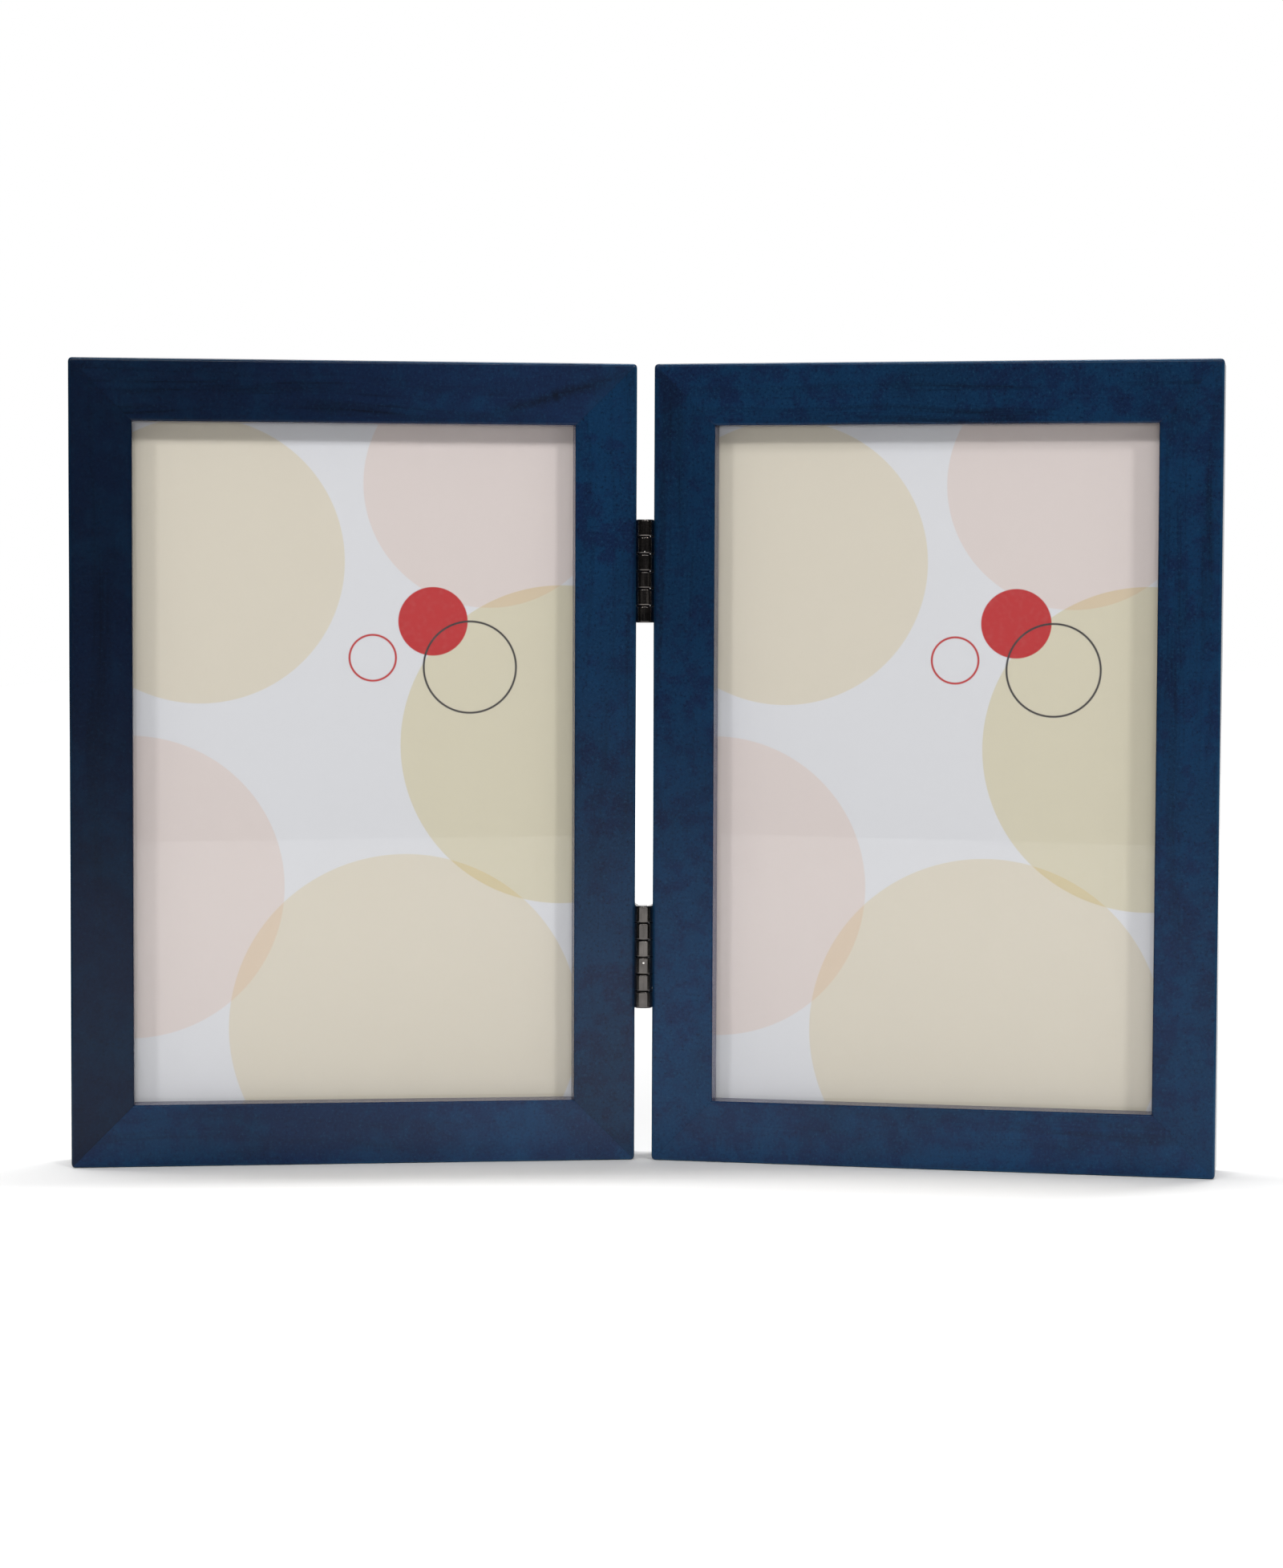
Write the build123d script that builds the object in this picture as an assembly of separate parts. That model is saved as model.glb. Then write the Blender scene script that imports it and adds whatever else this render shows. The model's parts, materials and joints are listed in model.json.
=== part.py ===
"""Hinged double photo frame: two mitred wooden wings on a pair of butt hinges.

Millimetres. A wing is modelled in its own frame: the fold axis is Z, X runs away from it along
the wing, Y runs from the front to the back, and Z=0 is the surface that the wing stands on.
The right wing is used as modelled, and the left wing is its mirror image.
The finished part has +Z up, fronts towards -Y and its origin under the middle of its box.
"""
from build123d import *
import math
import os

# The photograph that each wing holds, and the window in front of it
PHOTO_WIDTH = 101.6
PHOTO_HEIGHT = 152.4
PHOTO_SIDE_CLEARANCE = 0.85
PHOTO_END_CLEARANCE = 1.4
REBATE_WIDTH = 4.0
LIP_DEPTH = 5.6

# Wooden mouldings
FACE_WIDTH = 13.5
OUTER_EDGE_RADIUS = 0.7
INNER_EDGE_RADIUS = 0.5
BACK_EDGE_RADIUS = 0.6
CORNER_EASING = 0.2

# Sheets in the rebate, from the front to the back
GLASS_THICKNESS = 2.0
CARD_THICKNESS = 0.3
FILLER_THICKNESS = 1.5
BOARD_THICKNESS = 3.2
VELVET_THICKNESS = 0.5
SHEET_CLEARANCE = 0.4
GLASS_EDGE_BEVEL = 0.2

# V-nails across the back of each mitre
NAIL_THICKNESS = 0.6
NAIL_LEG = 4.2
NAIL_HALF_ANGLE = 50.0
NAIL_DEPTH = 7.0

# Turn buttons and their pan-head screws
BUTTON_WIDTH = 7.0
BUTTON_THICKNESS = 0.8
BUTTON_OVERLAP = 4.5
BUTTON_FINGER_LENGTH = 2.4
BUTTON_FINGER_RISE = 0.9
BUTTON_PLAY = 0.1
BACKING_CLEARANCE = 0.3
BUTTON_SCREW_RADIUS = 1.2
BUTTON_SCREW_LENGTH = 9.0
BUTTON_HOLE_CLEARANCE = 0.08
PAN_HEAD_RADIUS = 2.5
PAN_HEAD_HEIGHT = 1.6
PAN_HEAD_WALL = 0.7

# Butt hinges
HINGE_LENGTH = 22.4
HINGE_SPACING = 84.2
KNUCKLE_COUNT = 6
KNUCKLE_GAP = 0.2
KNUCKLE_BREAK = 0.15
KNUCKLE_CLEARANCE = 0.25
PIN_RADIUS = 1.1
PIN_CLEARANCE = 0.05
PIN_END_BREAK = 0.25
LEAF_THICKNESS = 0.85
LEAF_WIDTH = 10.5
LEAF_CORNER_RADIUS = 1.5
LEAF_SET = 0.35
LEAF_SCREW_EDGE = 5.0
BARREL_CLEARANCE = 0.22

# Countersunk hinge screws
HINGE_SCREW_RADIUS = 1.0
HINGE_SCREW_LENGTH = 8.0
HINGE_HEAD_RADIUS = 1.8

# Shared details of the screws
SCREW_FIT = 0.02
SCREW_TIP = 2.0
CROSS_WIDTH = 0.55
CROSS_DEPTH = 0.5
CROSS_WALL = 0.25

# Angle between the two fronts as the frame stands
OPEN_ANGLE = 162.4

# Sizes that follow from those above
POCKET_WIDTH = PHOTO_WIDTH + 2 * PHOTO_SIDE_CLEARANCE
POCKET_HEIGHT = PHOTO_HEIGHT + 2 * PHOTO_END_CLEARANCE
LAND_WIDTH = FACE_WIDTH - REBATE_WIDTH
WING_WIDTH = POCKET_WIDTH + 2 * LAND_WIDTH
WING_HEIGHT = POCKET_HEIGHT + 2 * LAND_WIDTH
SHEET_WIDTH = POCKET_WIDTH - 2 * SHEET_CLEARANCE
SHEET_HEIGHT = POCKET_HEIGHT - 2 * SHEET_CLEARANCE
SHEET_STACK = GLASS_THICKNESS + CARD_THICKNESS + FILLER_THICKNESS + BOARD_THICKNESS + VELVET_THICKNESS
WING_DEPTH = LIP_DEPTH + SHEET_STACK + BACKING_CLEARANCE
CORNER_RADIUS = OUTER_EDGE_RADIUS + CORNER_EASING
WING_TILT = (180 - OPEN_ANGLE) / 2

BORE_RADIUS = PIN_RADIUS + PIN_CLEARANCE
BARREL_RADIUS = BORE_RADIUS + LEAF_THICKNESS
SIDE_OFFSET = BARREL_RADIUS - LEAF_SET
KNUCKLE_PITCH = (HINGE_LENGTH + KNUCKLE_GAP) / KNUCKLE_COUNT
KNUCKLE_LENGTH = KNUCKLE_PITCH - KNUCKLE_GAP
LEAF_SCREW_DEPTH = (BARREL_RADIUS + LEAF_WIDTH) / 2
LEAF_SCREW_OFFSET = HINGE_LENGTH / 2 - LEAF_SCREW_EDGE

# The barrel stands proud of the fronts by as much as keeps it clear of the stiles' eased edges
FRONT_OFFSET = math.sqrt(
    (BARREL_RADIUS + BARREL_CLEARANCE + OUTER_EDGE_RADIUS) ** 2 - (SIDE_OFFSET + OUTER_EDGE_RADIUS) ** 2
) - OUTER_EDGE_RADIUS

# Middle of a wing, on its front face
WING_MIDDLE = Pos(SIDE_OFFSET + WING_WIDTH / 2, FRONT_OFFSET, WING_HEIGHT / 2)

# Each side of a wing: its moulding's name and length, its distance from the middle, its turn about Y
SIDES = {
    "bottom": ("bottom_rail", WING_WIDTH, WING_HEIGHT / 2, 0),
    "outer": ("outer_stile", WING_HEIGHT, WING_WIDTH / 2, -90),
    "top": ("top_rail", WING_WIDTH, WING_HEIGHT / 2, 180),
    "hinge": ("hinge_stile", WING_HEIGHT, WING_WIDTH / 2, 90),
}

# Each corner of a wing: the signs of its X and Z from the middle, and its turn about Y
CORNERS = [(-1, -1, 0), (1, -1, -90), (1, 1, 180), (-1, 1, 90)]

# The heights of the hinges' middles
HINGE_HEIGHTS = {
    "upper": WING_HEIGHT / 2 + HINGE_SPACING / 2,
    "lower": WING_HEIGHT / 2 - HINGE_SPACING / 2,
}


def side_place(side):
    """A side's own frame: X along it, Z inwards from its outer edge, Y from front to back."""
    name, length, distance, turn = SIDES[side]
    return WING_MIDDLE * Rot(0, turn, 0) * Pos(0, 0, -distance)


def corner_place(corner):
    """A corner's own frame: X and Z run inwards along the two mouldings that meet there."""
    x_sign, z_sign, turn = corner
    return WING_MIDDLE * Pos(x_sign * WING_WIDTH / 2, 0, z_sign * WING_HEIGHT / 2) * Rot(0, turn, 0)


# Screws: the axis is Z, the tip points down and the top of the shank is at Z=0


def shank(radius, length):
    """A plain screw shank with a pointed end."""
    outline = Polyline(
        (0, 0), (radius, 0), (radius, SCREW_TIP - length), (0, -length), close=True
    )
    return revolve(Plane.XZ * make_face(outline), Axis.Z)


def cross_recess(top, head_radius):
    """The cross-shaped driver recess in a screw head, inside a countersunk cone's wall."""
    reach = head_radius - CROSS_DEPTH - CROSS_WALL
    slot = Pos(0, 0, top) * Box(2 * reach, CROSS_WIDTH, 2 * CROSS_DEPTH)
    return slot + Rot(0, 0, 90) * slot


def pan_head_screw():
    """A pan-head screw whose head stands above the turn button."""
    rim = (PAN_HEAD_RADIUS, PAN_HEAD_WALL)
    crown = (0, PAN_HEAD_HEIGHT)
    walls = Polyline(crown, (0, 0), (PAN_HEAD_RADIUS, 0), rim)
    dome = TangentArc(crown, rim, tangent=(1, 0))
    head = revolve(Plane.XZ * make_face([walls, dome]), Axis.Z)
    screw = head + shank(BUTTON_SCREW_RADIUS, BUTTON_SCREW_LENGTH)
    return screw - cross_recess(PAN_HEAD_HEIGHT, PAN_HEAD_RADIUS)


def countersunk_body(fit):
    """A countersunk screw's outline with its head's top at Z=0, grown all round by a fit."""
    head = HINGE_HEAD_RADIUS + fit
    body = HINGE_SCREW_RADIUS + fit
    outline = Polyline((0, 0), (head, 0), (body, body - head), (0, body - head), close=True)
    return revolve(Plane.XZ * make_face(outline), Axis.Z) + shank(body, HINGE_SCREW_LENGTH + fit)


def countersunk_screw():
    """A countersunk hinge screw."""
    return countersunk_body(0) - cross_recess(0, HINGE_HEAD_RADIUS)


def hinge_screw_places():
    """The places of a wing's hinge screws, heads on the leaves and tips in the stile."""
    return [
        Pos(SIDE_OFFSET - LEAF_THICKNESS, LEAF_SCREW_DEPTH, height + offset) * Rot(0, -90, 0)
        for height in HINGE_HEIGHTS.values()
        for offset in (-LEAF_SCREW_OFFSET, LEAF_SCREW_OFFSET)
    ]


# Wooden mouldings


def mitred_outline(length):
    """The front outline of a moulding: mitred ends and half of each eased outer corner."""
    half = length / 2
    tip = CORNER_RADIUS * (1 - math.cos(math.radians(45)))
    return make_face(
        [
            Line((CORNER_RADIUS - half, 0), (half - CORNER_RADIUS, 0)),
            CenterArc((half - CORNER_RADIUS, CORNER_RADIUS), CORNER_RADIUS, -90, 45),
            Polyline(
                (half - tip, tip),
                (half - FACE_WIDTH, FACE_WIDTH),
                (FACE_WIDTH - half, FACE_WIDTH),
                (tip - half, tip),
            ),
            CenterArc((CORNER_RADIUS - half, CORNER_RADIUS), CORNER_RADIUS, -90, -45),
        ]
    )


def outer_edges(blank, layer):
    """The edges along a moulding's outer side, on its front (layer 0) or its back (layer -1)."""
    edges = blank.edges().group_by(Axis.Y)[layer]
    return [edge for edge in edges if edge.bounding_box().max.Z < CORNER_RADIUS]


def moulding(length):
    """A mitred, rebated moulding in its side's frame, with every long edge eased."""
    blank = extrude(Plane.XZ * mitred_outline(length), amount=-WING_DEPTH)
    blank = fillet(outer_edges(blank, 0), OUTER_EDGE_RADIUS)
    blank = fillet(outer_edges(blank, -1), BACK_EDGE_RADIUS)
    inner_front = blank.edges().group_by(Axis.Y)[0].sort_by(Axis.Z)[-1]
    blank = fillet(inner_front, INNER_EDGE_RADIUS)
    rebate = Pos(0, LIP_DEPTH, LAND_WIDTH) * Box(
        length, WING_DEPTH, FACE_WIDTH, align=(Align.CENTER, Align.MIN, Align.MIN)
    )
    return blank - rebate


def corner_nails():
    """The V-nails of a wing, one across each mitre, flush with the back."""
    angle = math.radians(NAIL_HALF_ANGLE)
    along = NAIL_LEG * math.cos(angle)
    across = NAIL_LEG * math.sin(angle)
    thickness = NAIL_THICKNESS / math.sin(angle)
    apex = LAND_WIDTH / math.sqrt(2) + (along + thickness) / 2
    chevron = Polyline(
        (apex, 0),
        (apex - along, across),
        (apex - along - thickness, across),
        (apex - thickness, 0),
        (apex - along - thickness, -across),
        (apex - along, -across),
        close=True,
    )
    nail = Pos(0, WING_DEPTH, 0) * extrude(
        Plane.XZ * Rot(0, 0, 45) * make_face(chevron), amount=NAIL_DEPTH
    )
    return [corner_place(corner) * nail for corner in CORNERS]


# Sheets in the rebate


def sheet(width, height, front, thickness):
    """A flat sheet centred behind the window, its front a distance behind the wing's front."""
    return WING_MIDDLE * Pos(0, front, 0) * Box(
        width, thickness, height, align=(Align.CENTER, Align.MIN, Align.CENTER)
    )


def rebate_sheets():
    """Everything that lies in a wing's rebate, from the glass to the velvet."""
    sheets = {}
    front = LIP_DEPTH
    glass = sheet(SHEET_WIDTH, SHEET_HEIGHT, front, GLASS_THICKNESS)
    sheets["glass"] = chamfer(glass.edges(), GLASS_EDGE_BEVEL)
    front += GLASS_THICKNESS
    sheets["photo_card"] = sheet(PHOTO_WIDTH, PHOTO_HEIGHT, front, CARD_THICKNESS)
    front += CARD_THICKNESS
    for name, thickness in (
        ("filler_card", FILLER_THICKNESS),
        ("backing_board", BOARD_THICKNESS),
        ("backing_velvet", VELVET_THICKNESS),
    ):
        sheets[name] = sheet(SHEET_WIDTH, SHEET_HEIGHT, front, thickness)
        front += thickness
    return sheets


# Turn buttons


def button_pivot(side):
    """The pivot of a side's turn button: on the back of the wood, Y to the window, Z out of the back."""
    return side_place(side) * Pos(0, WING_DEPTH, LAND_WIDTH / 2) * Rot(-90, 0, 180)


def turn_button():
    """A stamped turn button on its pivot: its arm runs along Y and its finger tip bends up."""
    radius = BUTTON_WIDTH / 2
    reach = LAND_WIDTH / 2 + BUTTON_OVERLAP
    bend = reach - BUTTON_FINGER_LENGTH
    strip = Polyline(
        (-radius, 0),
        (bend, 0),
        (reach, BUTTON_FINGER_RISE),
        (reach, BUTTON_FINGER_RISE + BUTTON_THICKNESS),
        (bend, BUTTON_THICKNESS),
        (-radius, BUTTON_THICKNESS),
        close=True,
    )
    blank = extrude(Plane.YZ * make_face(strip), amount=radius, both=True)
    plan = Pos(0, (reach - radius) / 2, 0) * SlotCenterToCenter(reach - radius, BUTTON_WIDTH, rotation=90)
    plan_height = BUTTON_FINGER_RISE + BUTTON_THICKNESS
    button = blank & extrude(plan, amount=plan_height)
    hole = Cylinder(BUTTON_SCREW_RADIUS + BUTTON_HOLE_CLEARANCE, 4 * BUTTON_THICKNESS)
    return Pos(0, 0, BUTTON_PLAY) * (button - hole)


# Butt hinges


def knuckle_bottom(index):
    """The height of a knuckle's lower end, from the hinge's middle."""
    return index * KNUCKLE_PITCH - HINGE_LENGTH / 2


def hinge_leaf(own):
    """A hinge leaf about the fold axis, with its own knuckles, numbered from the bottom."""
    plate = Pos(SIDE_OFFSET - LEAF_THICKNESS, 0, 0) * Box(
        LEAF_THICKNESS, LEAF_WIDTH, HINGE_LENGTH, align=(Align.MIN, Align.MIN, Align.CENTER)
    )
    plate = fillet(plate.edges().filter_by(Axis.X).group_by(Axis.Y)[-1], LEAF_CORNER_RADIUS)
    leaf = plate
    for index in range(KNUCKLE_COUNT):
        bottom = knuckle_bottom(index)
        if index in own:
            barrel = Cylinder(BARREL_RADIUS, KNUCKLE_LENGTH, align=(Align.CENTER, Align.CENTER, Align.MIN))
            barrel = chamfer(barrel.edges().filter_by(GeomType.CIRCLE), KNUCKLE_BREAK)
            leaf += Pos(0, 0, bottom) * barrel
        else:
            notch = Cylinder(
                BARREL_RADIUS + KNUCKLE_CLEARANCE,
                KNUCKLE_LENGTH + 2 * KNUCKLE_GAP,
                align=(Align.CENTER, Align.CENTER, Align.MIN),
            )
            leaf -= Pos(0, 0, bottom - KNUCKLE_GAP) * notch
    return leaf - Cylinder(BORE_RADIUS, 2 * HINGE_LENGTH)


def hinge_pin():
    """A hinge pin with broken ends."""
    pin = Cylinder(PIN_RADIUS, HINGE_LENGTH)
    return chamfer(pin.edges().filter_by(GeomType.CIRCLE), PIN_END_BREAK)


# One wing, in its own frame


def wing(own_knuckles):
    """Every piece of a wing by name, with its own share of the hinges' knuckles."""
    pieces = {}
    nails = corner_nails()
    screw_holes = [place * countersunk_body(SCREW_FIT) for place in hinge_screw_places()]
    button_holes = []
    button_screws = []
    screw_seat = Pos(0, 0, 2 * BUTTON_PLAY + BUTTON_THICKNESS)
    for side in SIDES:
        pivot = button_pivot(side)
        pieces["turn_button_" + side] = pivot * turn_button()
        button_screws.append(pivot * screw_seat * pan_head_screw())
        button_holes.append(
            pivot * screw_seat * shank(BUTTON_SCREW_RADIUS + SCREW_FIT, BUTTON_SCREW_LENGTH + SCREW_FIT)
        )
    for side, (name, length, distance, turn) in SIDES.items():
        pieces[name] = side_place(side) * moulding(length) - nails - button_holes - screw_holes
    pieces.update(rebate_sheets())
    pieces["corner_v_nails"] = Compound(nails)
    pieces["turn_button_screws"] = Compound(button_screws)
    pieces["hinge_screws"] = Compound([place * countersunk_screw() for place in hinge_screw_places()])
    for level, height in HINGE_HEIGHTS.items():
        pieces[level + "_hinge_leaf"] = Pos(0, 0, height) * hinge_leaf(own_knuckles) - screw_holes
    return pieces


# The whole part: the wings turned towards the viewer about the fold axis

nodes = {}
for name, piece in wing(range(0, KNUCKLE_COUNT, 2)).items():
    nodes["left_" + name] = Rot(0, 0, WING_TILT) * mirror(piece, about=Plane.YZ)
for name, piece in wing(range(1, KNUCKLE_COUNT, 2)).items():
    nodes["right_" + name] = Rot(0, 0, -WING_TILT) * piece
for level, height in HINGE_HEIGHTS.items():
    nodes[level + "_hinge_pin"] = Pos(0, 0, height) * hinge_pin()

# The fold axis lies this far behind the middle of the part's box
box = Compound(list(nodes.values())).bounding_box()
FOLD_AXIS_Y = -(box.min.Y + box.max.Y) / 2

os.makedirs("parts", exist_ok=True)
for name, piece in nodes.items():
    export_step(Pos(0, FOLD_AXIS_Y, 0) * piece, "parts/" + name + ".step")
print(len(nodes), "nodes, fold axis at y =", round(FOLD_AXIS_Y, 4))
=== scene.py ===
"""Looks of a hinged double photo frame: two stained wooden wings on black butt hinges.

Metres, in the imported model's frame: +Z up, fronts towards -Y, standing on Z=0.
A wing's own frame has its origin on the fold axis, X to the viewer's right along the wing,
Y from its front to its back and Z up.
"""

from collections import namedtuple
import json
import math

import bmesh
import bpy
from mathutils import Matrix, Vector, noise


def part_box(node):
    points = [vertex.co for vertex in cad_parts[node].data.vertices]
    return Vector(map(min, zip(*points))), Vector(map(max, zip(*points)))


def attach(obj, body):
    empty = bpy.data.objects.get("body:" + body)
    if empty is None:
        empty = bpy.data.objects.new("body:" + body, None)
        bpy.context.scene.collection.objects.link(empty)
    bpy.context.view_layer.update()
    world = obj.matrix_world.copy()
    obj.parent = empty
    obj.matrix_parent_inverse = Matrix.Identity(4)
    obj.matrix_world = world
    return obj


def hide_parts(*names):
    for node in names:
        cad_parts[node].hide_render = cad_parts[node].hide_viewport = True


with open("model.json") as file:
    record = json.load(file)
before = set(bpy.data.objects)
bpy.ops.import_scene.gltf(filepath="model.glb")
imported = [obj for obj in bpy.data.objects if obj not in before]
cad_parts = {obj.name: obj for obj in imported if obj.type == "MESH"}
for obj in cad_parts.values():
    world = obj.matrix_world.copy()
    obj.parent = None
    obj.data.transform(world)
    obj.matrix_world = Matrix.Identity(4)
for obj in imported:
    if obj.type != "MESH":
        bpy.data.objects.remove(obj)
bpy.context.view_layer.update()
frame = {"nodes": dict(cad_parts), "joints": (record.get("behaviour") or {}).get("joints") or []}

MM = 0.001

# Wooden mouldings
OUTER_EDGE = 0.7 * MM
INNER_EDGE = 0.5 * MM
BACK_EDGE = 0.6 * MM
CORNER_RADIUS = 0.9 * MM
ARRIS = 0.15 * MM
MITRE_GROOVE = 0.01 * MM
MITRE_EASING = 0.14 * MM
EDGE_STEPS = 6
FACE_STEPS = 7
LENGTH_STEPS = 44
SURFACE_WAVE = 0.018 * MM
SURFACE_WAVE_LENGTH = 22 * MM

# V-nails across the backs of the mitres
NAIL_THICKNESS = 0.6 * MM
NAIL_LEG = 4.2 * MM
NAIL_HALF_ANGLE = math.radians(50)
NAIL_DEPTH = 7.0 * MM
NAIL_SUNK = 0.12 * MM
NAIL_EDGE = 0.07 * MM
NAIL_SLOT_FIT = 0.06 * MM

# Turn buttons and their pan-head screws
BUTTON_THICKNESS = 0.8 * MM
BUTTON_FINGER = 2.4 * MM
BUTTON_RISE = 0.9 * MM
BUTTON_BEND = 0.6 * MM
BUTTON_HOLE = 1.28 * MM
BUTTON_PLAY = 0.1 * MM
BUTTON_EDGE = 0.16 * MM
PAN_RADIUS = 2.5 * MM
PAN_HEIGHT = 1.6 * MM
PAN_WALL = 0.55 * MM
PAN_SHANK = 1.2 * MM
PAN_LENGTH = 9.0 * MM
PAN_CROSS = (1.35 * MM, 0.55 * MM, 0.75 * MM)
CROSS_TAPER = 0.62

# Butt hinges and their countersunk screws
KNUCKLES = 6
KNUCKLE_GAP = 0.12 * MM
KNUCKLE_EASE = 0.32 * MM
KNUCKLE_CLEARANCE = 0.25 * MM
LEAF_THICKNESS = 0.85 * MM
LEAF_CORNER = 1.5 * MM
LEAF_EDGE = 0.2 * MM
ROLL_STEPS = 44
ROLL_SEAM = math.radians(6)
PIN_DOME = 0.3 * MM
HINGE_SCREW_EDGE = 5.0 * MM
HINGE_SCREW_HEAD = 1.8 * MM
HINGE_SCREW_SHANK = 1.0 * MM
HINGE_SCREW_LENGTH = 8.0 * MM
HINGE_SCREW_CROSS = (1.05 * MM, 0.5 * MM, 0.6 * MM)
HEAD_EDGE = 0.05 * MM
SCREW_FIT = 0.03 * MM
SCREW_TIP = 2.0 * MM
TURNED_STEPS = 40

# Velvet on the backs
VELVET_CELL = 2.0 * MM
VELVET_WAVE = 0.05 * MM
VELVET_WAVE_LENGTH = 9 * MM
VELVET_FRAY = 0.12 * MM
VELVET_FRAY_LENGTH = 1.7 * MM
VELVET_EDGE = 0.2 * MM

# Glass
GLASS_EASE = 0.03 * MM

# Camera, from the photograph
IMAGE_HEIGHT = 1955
FOCAL_PIXELS = 4267.4
SENSOR = 36.0
CAMERA_PLACE = (0.02692, -0.7448, 0.12125)
CAMERA_TURN = (87.052, -0.225, 2.122)

WING_HANDS = {"left": -1, "right": 1}
LEVELS = ("upper", "lower")
SIDES = ("bottom", "outer", "top", "hinge")


def srgb(red, green, blue):
    """A colour from 0-255 display values, as the linear colour that a shader takes."""
    def linear(value):
        share = value / 255
        return share / 12.92 if share <= 0.04045 else ((share + 0.055) / 1.055) ** 2.4
    return (linear(red), linear(green), linear(blue), 1.0)


# Shader nodes, added to the node tree that is being built


class Building:
    """The node tree that is being built. Starting a material or the world sets it."""

    tree = None


def start_tree(owner):
    """Empties the node tree of a material or world, to build it."""
    owner.use_nodes = True
    Building.tree = owner.node_tree
    Building.tree.nodes.clear()


def add(kind, inputs=None, **settings):
    """Adds a shader node of a kind, with its settings and with its inputs set or linked."""
    made = Building.tree.nodes.new("ShaderNode" + kind)
    for name, value in settings.items():
        setattr(made, name, value)
    for name, value in (inputs or {}).items():
        if isinstance(value, bpy.types.NodeSocket):
            Building.tree.links.new(value, made.inputs[name])
        else:
            made.inputs[name].default_value = value
    return made


def new_material(name):
    """Starts a material. Gives it with its piece's own coordinates, in metres."""
    material = bpy.data.materials.new(name)
    start_tree(material)
    return material, add("TexCoord").outputs["Object"]


def stretched(vector, scale=(1, 1, 1), shift=(0, 0, 0), turn=(0, 0, 0)):
    """Coordinates scaled along each axis, then turned, then shifted."""
    return add("Mapping", {
        "Vector": vector, "Scale": scale, "Rotation": turn, "Location": shift,
    }).outputs[0]


def cloud(vector, scale, detail=3.0, roughness=0.5, distortion=0.0):
    """A noise value about 0.5."""
    return add("TexNoise", {
        "Vector": vector, "Scale": scale, "Detail": detail,
        "Roughness": roughness, "Distortion": distortion,
    }).outputs["Fac"]


def spread(value, low, high, to_low=0.0, to_high=1.0):
    """A value eased from one range to another."""
    return add("MapRange", {
        "Value": value, "From Min": low, "From Max": high, "To Min": to_low, "To Max": to_high,
    }, interpolation_type="SMOOTHSTEP").outputs[0]


def calc(operation, first, second=0.0):
    """One sum of two values."""
    return add("Math", {0: first, 1: second}, operation=operation).outputs[0]


def times(first, second):
    """Two values multiplied."""
    return calc("MULTIPLY", first, second)


def blend(share, first, second, kind="MIX"):
    """Two colours mixed by a share."""
    return add(
        "Mix", {0: share, 6: first, 7: second}, data_type="RGBA", blend_type=kind
    ).outputs[2]


def axes(vector):
    """The X, Y and Z of a vector."""
    return add("SeparateXYZ", {0: vector}).outputs


def from_origin(vector):
    """The distance of a place from the origin."""
    return add("VectorMath", {0: vector}, operation="LENGTH").outputs["Value"]


def relief(height, strength, distance):
    """A bump from a height."""
    return add(
        "Bump", {"Height": height, "Strength": strength, "Distance": distance}
    ).outputs[0]


def specks(place, scale, channel, rarity, inner, outer, share):
    """Scattered round specks: a share inside the speck of each picked cell, else 0."""
    cells = add("TexVoronoi", {"Vector": place, "Scale": scale})
    chosen = calc("GREATER_THAN", axes(cells.outputs["Color"])[channel], rarity)
    return times(spread(cells.outputs["Distance"], inner, outer, share, 0.0), chosen)


def show(shader, kind="OutputMaterial"):
    """Puts a shader on the output."""
    add(kind, {"Surface": shader.outputs[0]})


def principled(inputs):
    """Puts the common surface shader on the output."""
    show(add("BsdfPrincipled", inputs))


# Materials

NAVY = srgb(15, 34, 65)
TEAL = srgb(12, 45, 76)
INK = srgb(9, 15, 26)
# Pale blue: thin stain in the pores, and a painted highlight on the outer front edges
PALE_STAIN_AND_EDGE_HIGHLIGHT = srgb(30, 68, 98)
# Mauve: a painted reflection of the card on the lip that faces the glass
LIP_CARD_REFLECTION = srgb(96, 90, 112)
# Grey veil: faded stain, and a painted haze that stands for the reflected pale table
FADE_AND_HAZE_GREY = (0.06, 0.06, 0.06, 1)
DUST = srgb(150, 172, 190)
# Pale specks painted as small glints on the hinges
GLINT_SPECK = srgb(225, 222, 216)

# How each moulding took the stain: its share of teal, its depth of colour, how streaky it is,
# which of its ends is paler and less streaky, and how much paler and greyer it is there, partly stain
# and partly a painted haze of the pale table's reflection
Tone = namedtuple("Tone", "teal depth streaks pale_end lift grey")
WOOD_TONES = {
    "left_top_rail": Tone(0.30, 0.48, 1.0, -1, 2.0, 0.04),
    "left_outer_stile": Tone(0.25, 0.38, 0.4, 1, 1.3, 0.03),
    "left_bottom_rail": Tone(0.35, 1.02, 0.3, 1, 1.5, 0.14),
    "left_hinge_stile": Tone(0.70, 0.90, 0.3, -1, 1.1, 0.14),
    "right_top_rail": Tone(0.60, 0.84, 1.0, 1, 1.0, 0.0),
    "right_outer_stile": Tone(0.60, 0.88, 0.6, -1, 1.2, 0.0),
    "right_bottom_rail": Tone(0.45, 1.26, 0.4, -1, 1.0, 0.08),
    "right_hinge_stile": Tone(0.60, 0.73, 0.5, 1, 1.68, 0.05),
}

# The knot in one rail: its place along and across the moulding, the slant of the streak
# that runs through it, and how far the streak reaches
KNOT_RAIL = "left_top_rail"
KNOT_PLACE = (-43.4 * MM, 7.1 * MM)
KNOT_SLANT = math.radians(17)
KNOT_REACH = 21 * MM


def deepened(colour, depth):
    """A colour at a share of its brightness."""
    return (colour[0] * depth, colour[1] * depth, colour[2] * depth, 1.0)


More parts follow.
